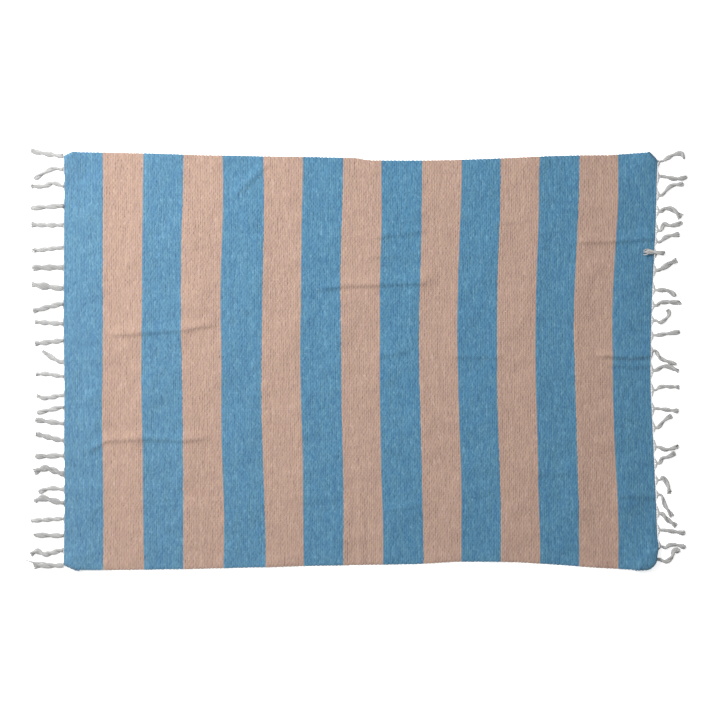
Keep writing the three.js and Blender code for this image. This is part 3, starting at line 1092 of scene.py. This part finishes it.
def warp_lines():
    lines = []
    # Steps are closer together towards the ends, where the corners bend sharply.
    turn = np.linspace(-END_TURN, END_TURN, THREAD_STEPS + 1)
    run = np.sin(turn) / math.sin(END_TURN) * cloth_length / 2
    height = np.full_like(run, MIDDLE_HEIGHT)
    for warp in range(WARPS):
        y = ((warp + 0.5) / WARPS - 0.5) * woven_width
        inside = laid(np.stack([run, np.full_like(run, y), height], axis=1))
        inside[:, 2] = np.maximum(inside[:, 2], WARP_DIAMETER / 2 + OFF_FLOOR * MM)
        halves = []
        for side, start in ((-1, inside[0]), (1, inside[-1])):
            roots = np.array([course[JOIN_POINT] for course in courses[side]])
            nearest = roots[np.abs(roots[:, 1] - start[1]).argmin()]
            halves.append(gathered(start, nearest, side))
        lines.append(np.vstack([halves[0][::-1], inside, halves[1]]))
    return lines


warp_runs = warp_lines()
print(len(warp_runs), "lines of", len(warp_runs[0]), "points")

# %% [markdown]
# Inside the cloth the weft packs a warp thread thin, and outside it swells to its own thickness. The tree
# sweeps a ring along every line, and makes it small where the thread is packed.

# %% The warp threads
# A thread swells over these points, counted from where it leaves the cloth. Minus is outwards.
SWELLS_FROM = 0.0
SWELLS_TO = -2.5
# The cotton is told a pick number, which grows by this much from one point of a thread to the next.
POINT_STEP = 0.01


def thread_tree():
    sizes = {
        "Thickness": "Float",
        "Packed thickness": "Float",
        "Points": "Int",
        "Free points": "Int",
        "Sides": "Int",
        "Cotton": "Material",
    }
    tree, size = geometry_tree("round threads", sizes)
    lines = add(tree, "GeometryNodeMeshToCurve", {"Mesh": size["Geometry"]}).outputs[0]
    upright = add(tree, "GeometryNodeSetCurveNormal", {"Curve": lines}, mode="Z_UP").outputs[0]
    way = Field(tree, add(tree, "GeometryNodeSplineParameter").outputs["Length"])
    number = Field(tree, add(tree, "GeometryNodeInputIndex").outputs[0])
    kept = store(tree, upright, "strand", vector(tree, way, number * POINT_STEP, 0.0))
    kept = store(tree, kept, "middle", here(tree))
    step = number.reckon("FLOORED_MODULO", size["Points"])
    from_tip = step.reckon("MINIMUM", size["Points"] - step - 1.0)
    packed = (from_tip - size["Free points"]).between(SWELLS_TO, SWELLS_FROM)
    girth = packed * (size["Packed thickness"] / size["Thickness"] - 1.0) + 1.0
    tube = tube_along(tree, kept, size["Thickness"] * 0.5, size["Sides"], girth)
    _, out_y, out_z = off_middle(tree)
    section = vector(tree, out_y / size["Thickness"] * 2, out_z / size["Thickness"] * 2, 0.0)
    finish_tree(tree, store(tree, tube, "section", section), size["Cotton"])
    return tree


warp_values = {
    "Thickness": WARP_DIAMETER,
    "Packed thickness": PACKED_DIAMETER,
    "Points": THREAD_STEPS + 1 + 2 * GATHER_STEPS,
    "Free points": GATHER_STEPS,
    "Sides": THREAD_SIDES,
    "Cotton": warp_cotton,
}
bundles = [f"warp_bundle_{number:02d}" for number in range(1, TASSELS + 1)]
warp_mesh = grow("warp_threads", thread_tree(), warp_values, line_mesh("warp lines", warp_runs))
warp_threads = piece("warp_threads", warp_mesh, "warp_cotton", *bundles)
print("warp threads:", WARPS, "with", len(warp_mesh.polygons), "faces")

# %% [markdown]
# A tassel is the warp's own threads, twisted into two plies, and the plies twisted round each other the other
# way, so that neither twist comes undone. The tip is cut, and frays. Each thread is a line that winds round
# its ply while the ply winds round the tassel's course. The tree samples the course and reckons both turns.

# %% Where the threads of a tassel go
FULL_TURN = 2 * math.pi
# Of a tassel's radius, how much is the way from its middle to a ply's, and how much the ply itself. Its
# threads are pressed together, so they count for less than their own radius.
PLY_SHARE = 0.4
THREAD_SHARE = 0.6
PRESSED = 0.9
# The root is narrow up to this share of the length, and a bulge reaches this far.
ROOT_REACH = 0.3
BULGE_REACH = 0.2
LUMPS_ALONG = 7
LUMPS_HEIGHT = 0.4
# Frayed threads end at different lengths, and are thinner.
UNEVEN_LENGTH = 0.8
FRAYED_THIN = -0.35


def tassel_paths(tree, size):
    """The middle lines of a tassel's threads, and how thick each is along its way."""
    course = add(tree, "GeometryNodeMeshToCurve", {"Mesh": size["Geometry"]}).outputs[0]
    line = add(tree, "GeometryNodeCurvePrimitiveLine").outputs[0]
    one = add(tree, "GeometryNodeResampleCurve", {"Curve": line, "Count": size["Steps"]}).outputs[0]
    inputs = {"Geometry": one, "Amount": size["Plies"] * size["Threads per ply"]}
    many = add(tree, "GeometryNodeDuplicateElements", inputs, domain="SPLINE")
    copy_number = Field(tree, many.outputs[1])
    kept = store(tree, many.outputs[0], "thread", copy_number, "FLOAT", "CURVE")
    thread = Field(tree, recall(tree, "thread", "FLOAT"))
    way = Field(tree, add(tree, "GeometryNodeSplineParameter").outputs["Factor"])
    inputs = {"Curves": course, "Factor": way}
    sample = add(tree, "GeometryNodeSampleCurve", inputs, mode="FACTOR", use_all_curves=True)
    position, tangent, normal = (sample.outputs[name] for name in ("Position", "Tangent", "Normal"))
    inputs = {0: tangent, 1: normal}
    sideways = add(tree, "ShaderNodeVectorMath", inputs, operation="CROSS_PRODUCT").outputs[0]

    ply = (thread / size["Threads per ply"] + 0.001).reckon("FLOOR")
    in_ply = thread - ply * size["Threads per ply"]
    fraying = way.between(size["Fray from"], 1.0)
    by_root = way.between(-0.05, ROOT_REACH).scaled(1.0, 0.0)
    body = by_root * size["Root narrowing"] * -1 + 1
    lumps = (noise(tree, vector(tree, way * LUMPS_ALONG, size["Seed"], 1.0), 1.0) - 0.5) * LUMPS_HEIGHT + 1
    from_bulge = (way - size["Bulge at"]).reckon("ABSOLUTE")
    body = body * lumps * (size["Bulge"] * from_bulge.between(-0.02, BULGE_REACH).scaled(1.0, 0.0) + 1.0)

    def own(per_thread, seed):
        """Smooth noise around 0, which is different for each thread."""
        place = vector(tree, thread * per_thread + way * 1.5, size["Seed"], seed)
        return noise(tree, place, 1.0) - 0.5

    own_x = own(9.7, 2.0)
    own_z = own(6.1, 6.0)
    ply_turn = (ply / size["Plies"] + size["Turns"] * way + size["Seed"]) * FULL_TURN
    thread_turn = (in_ply / size["Threads per ply"] - size["Thread turns"] * way) * FULL_TURN
    ply_reach = size["Radius"] * PLY_SHARE * body
    thread_reach = (size["Radius"] * THREAD_SHARE - size["Thread radius"] * PRESSED) * body
    spread_n = ply_turn.reckon("COSINE") * ply_reach + thread_turn.reckon("COSINE") * thread_reach
    spread_b = ply_turn.reckon("SINE") * ply_reach + thread_turn.reckon("SINE") * thread_reach
    run_out = (own_x + own_z) * size["Fray"] * fraying * UNEVEN_LENGTH
    wound = vector_sum(
        tree,
        position,
        vector_times(tree, normal, spread_n + own_x * size["Fray"] * fraying),
        vector_times(tree, sideways, spread_b + own_z * size["Fray"] * fraying),
        vector_times(tree, tangent, run_out),
    )
    x, y, z = parts(tree, wound)
    settled = vector(tree, x, y, z.reckon("MAXIMUM", size["Floor height"] + size["Thread radius"]))
    inputs = {"Geometry": kept, "Position": settled}
    placed = add(tree, "GeometryNodeSetPosition", inputs).outputs[0]
    strand = vector(tree, way * TASSEL_LENGTH * MM, thread + size["Seed"] * 7, 0.0)
    kept = store(tree, store(tree, placed, "strand", strand), "middle", here(tree))
    thickness = (body * 0.5 + 0.5) * (fraying * FRAYED_THIN + 1)
    return kept, thickness


print("two turns: threads round their ply, and plies round the course")

# %% [markdown]
# The rest is as with the other yarns: a ring is swept along every thread, and its points are told where on
# the ring they are, which the cotton needs for its winding fibres.

# %% The tassel, as a tree
def tassel_tree():
    sizes = {
        "Plies": "Int",
        "Threads per ply": "Int",
        "Steps": "Int",
        "Radius": "Float",
        "Thread radius": "Float",
        "Turns": "Float",
        "Thread turns": "Float",
        "Fray": "Float",
        "Fray from": "Float",
        "Root narrowing": "Float",
        "Bulge": "Float",
        "Bulge at": "Float",
        "Floor height": "Float",
        "Sides": "Int",
        "Seed": "Float",
        "Cotton": "Material",
    }
    tree, size = geometry_tree("twisted tassel", sizes)
    threads, thickness = tassel_paths(tree, size)
    tube = tube_along(tree, threads, size["Thread radius"], size["Sides"], thickness)
    _, out_y, out_z = off_middle(tree)
    section = vector(tree, out_y / size["Thread radius"], out_z / size["Thread radius"], 0.0)
    finish_tree(tree, store(tree, tube, "section", section), size["Cotton"])
    return tree


tassel = tassel_tree()
print("the tassel is a tree of", len(tassel.nodes), "nodes")

# %% [markdown]
# No two tassels are alike, since each is twisted by hand. Their turns, thickness, fray and narrow root are
# drawn at random within limits, and the few that came out unlike the rest are named by side and number.

# %% The fifty tassels
# How much a tip frays, how thick a tassel is, and its bulge: how big, and where along it.
FRAYED = {(-1, 1): 2.6, (-1, 6): 2.4, (-1, 7): 2.2, (-1, 21): 1.8, (1, 1): 1.5, (1, 10): 2.4, (1, 7): 2.0}
THICKNESSES = {(-1, 7): 1.2, (-1, 8): 1.15, (-1, 19): 1.2, (-1, 21): 1.15, (1, 4): 1.15, (1, 8): 1.25}
BULGES = {
    (-1, 4): (0.7, 0.02),
    (-1, 8): (0.3, 0.6),
    (1, 1): (0.35, 0.8),
    (1, 4): (0.7, 1.0),
    (1, 8): (0.3, 0.9),
}
# What is usual at each end: the radius in mm, the bulge, and how much narrower the roots are.
USUAL_RADIUS = {-1: 3.7, 1: 3.05}
USUAL_BULGE = {-1: (0.0, 0.5), 1: (0.25, 0.95)}
NARROWER = {-1: 0.0, 1: 0.25}
# In mm: a thread's radius, how wide a usual tip frays, and the length in which a thread winds once.
THREAD_RADIUS = 0.8
FRAY_WIDTH = 5
TURN_LENGTH = 16.0
# The limits of what is drawn: shares of the usual fray and thickness, the length in mm in which the plies
# wind once, the frayed length in mm, how much the root narrows, and the seed.
FRAYS = (0.5, 1.3)
GIRTHS = (0.86, 1.06)
PLY_TURN_LENGTHS = (20, 38)
FRAYED_LENGTHS = (4, 8)
NARROWINGS = (0.15, 0.35)
SEEDS = (0, 50)
SPARE_STEPS = 6
# The point of its course at which a tassel starts.
START_POINT = 4


def length_of(course):
    return np.linalg.norm(np.diff(course, axis=0), axis=1).sum()


rng = np.random.default_rng(11)
fringes = {-1: [], 1: []}
for side, end in ((-1, "left"), (1, "right")):
    for index in range(TASSELS):
        number = index + 1
        course = courses[side][index][START_POINT:]
        length = length_of(course)
        fray = FRAYED.get((side, number), rng.uniform(*FRAYS))
        thick = THICKNESSES.get((side, number), rng.uniform(*GIRTHS))
        bulge, bulge_at = BULGES.get((side, number), USUAL_BULGE[side])
        values = {
            "Plies": 2,
            "Threads per ply": 6,
            "Steps": int(length / MM) + SPARE_STEPS,
            "Radius": USUAL_RADIUS[side] * MM * thick,
            "Thread radius": THREAD_RADIUS * MM,
            "Turns": length / MM / rng.uniform(*PLY_TURN_LENGTHS),
            "Thread turns": length / MM / TURN_LENGTH,
            "Fray": fray * FRAY_WIDTH * MM,
            "Fray from": 1 - rng.uniform(*FRAYED_LENGTHS) / (length / MM),
            "Root narrowing": rng.uniform(*NARROWINGS) + NARROWER[side],
            "Bulge": bulge,
            "Bulge at": bulge_at,
            "Floor height": OFF_FLOOR * MM,
            "Sides": THREAD_SIDES,
            "Seed": rng.uniform(*SEEDS),
            "Cotton": warp_cotton,
        }
        name = f"tassel_{end}_{number:02d}"
        mesh = grow(name, tassel, values, line_mesh(name, [course]))
        fringes[side].append(piece(name, mesh, "warp_cotton", bundles[index]))
print("fifty tassels with", sum(len(t.data.polygons) for t in fringes[-1] + fringes[1]), "faces")

# %% [markdown]
# One pair of threads has slipped out of the last tassel on the left, and is longer than the rest. It is a
# tassel of one ply with two threads, so the same tree makes it. What isn't said here, such as its cotton, is
# as for the tassel that was made last.

# %% The stray strand
STRAY_ROOT = -0.25
STRAY_BENDS = [(0.4, 0.1), (1.2, 0.3)]
stray_course = smooth_course(tassel_course(TASSELS - 1, -1, STRAY_ROOT, STRAY_BENDS))[START_POINT:]
stray_values = {
    **values,
    "Plies": 1,
    "Threads per ply": 2,
    "Steps": int(length_of(stray_course) / MM) + SPARE_STEPS,
    "Radius": 1.5 * MM,
    "Turns": 2.0,
    "Thread turns": 6.0,
    "Fray": 3 * MM,
    "Bulge": 0.0,
}
stray_mesh = grow("stray_strand", tassel, stray_values, line_mesh("stray_strand", [stray_course]))
fringes[-1].append(piece("stray_strand", stray_mesh, "warp_cotton", bundles[-1]))
print("a stray strand", round(length_of(stray_course) / MM, 1), "mm long")
